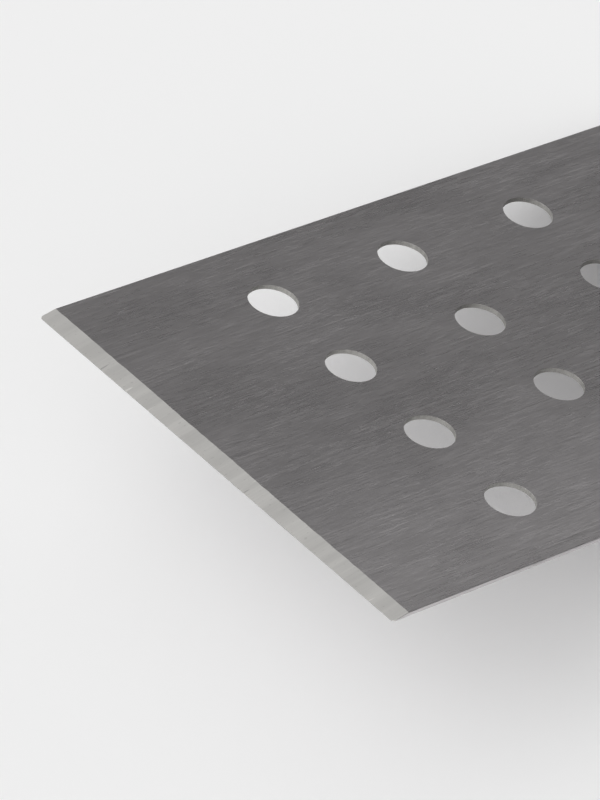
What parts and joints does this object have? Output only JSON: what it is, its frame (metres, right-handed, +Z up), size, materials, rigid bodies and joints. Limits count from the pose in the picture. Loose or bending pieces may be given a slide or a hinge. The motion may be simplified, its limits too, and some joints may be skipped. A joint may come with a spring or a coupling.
{
  "type": "perforated griddle turner",
  "caption": "Flat stainless turner: a thin perforated blade with a ground front edge, riveted to a cranked full-tang handle with wooden scales and a hanging bail.",
  "frame": {"origin": "centre of the bounding box's footprint, on the surface that the turner lies on at rest", "axes": "+X forward to the cutting edge, +Y to the left, +Z up"},
  "size_m": [0.42, 0.1, 0.0461],
  "materials": {
    "blade_steel": "fine lengthwise brushed satin, ground bevel at the front edge",
    "shank_steel": "satin, brushed lengthwise",
    "bolster_steel": "satin ground flush with the scales",
    "rivet_steel": "polished",
    "bail_wire": "bright drawn wire",
    "handle_wood": "oiled walnut",
    "liner_fibre": "black vulcanised fibre"
  },
  "bodies": {
    "turner": {"blade_plate": "blade_steel", "blade_rivet_front": "rivet_steel", "blade_rivet_left": "rivet_steel", "blade_rivet_right": "rivet_steel", "bolster_bottom": "bolster_steel", "bolster_pin": "rivet_steel", "bolster_top": "bolster_steel", "butt_cap": "bolster_steel", "butt_pin": "rivet_steel", "cranked_shank": "shank_steel", "liner_bottom": "liner_fibre", "liner_top": "liner_fibre", "rivet_barrel_front": "rivet_steel", "rivet_barrel_middle": "rivet_steel", "rivet_barrel_rear": "rivet_steel", "rivet_stud_front": "rivet_steel", "rivet_stud_middle": "rivet_steel", "rivet_stud_rear": "rivet_steel", "scale_bottom": "handle_wood", "scale_top": "handle_wood"},
    "bail": {"hanging_bail": "bail_wire"}
  },
  "joints": [
    {"name": "bail_swing", "type": "hinge", "parent": "turner", "child": "bail", "pos_m": [-0.18286, 0, 0.0105], "axis": [0, 1, 0], "range_deg": [-134, 163]}
  ]
}
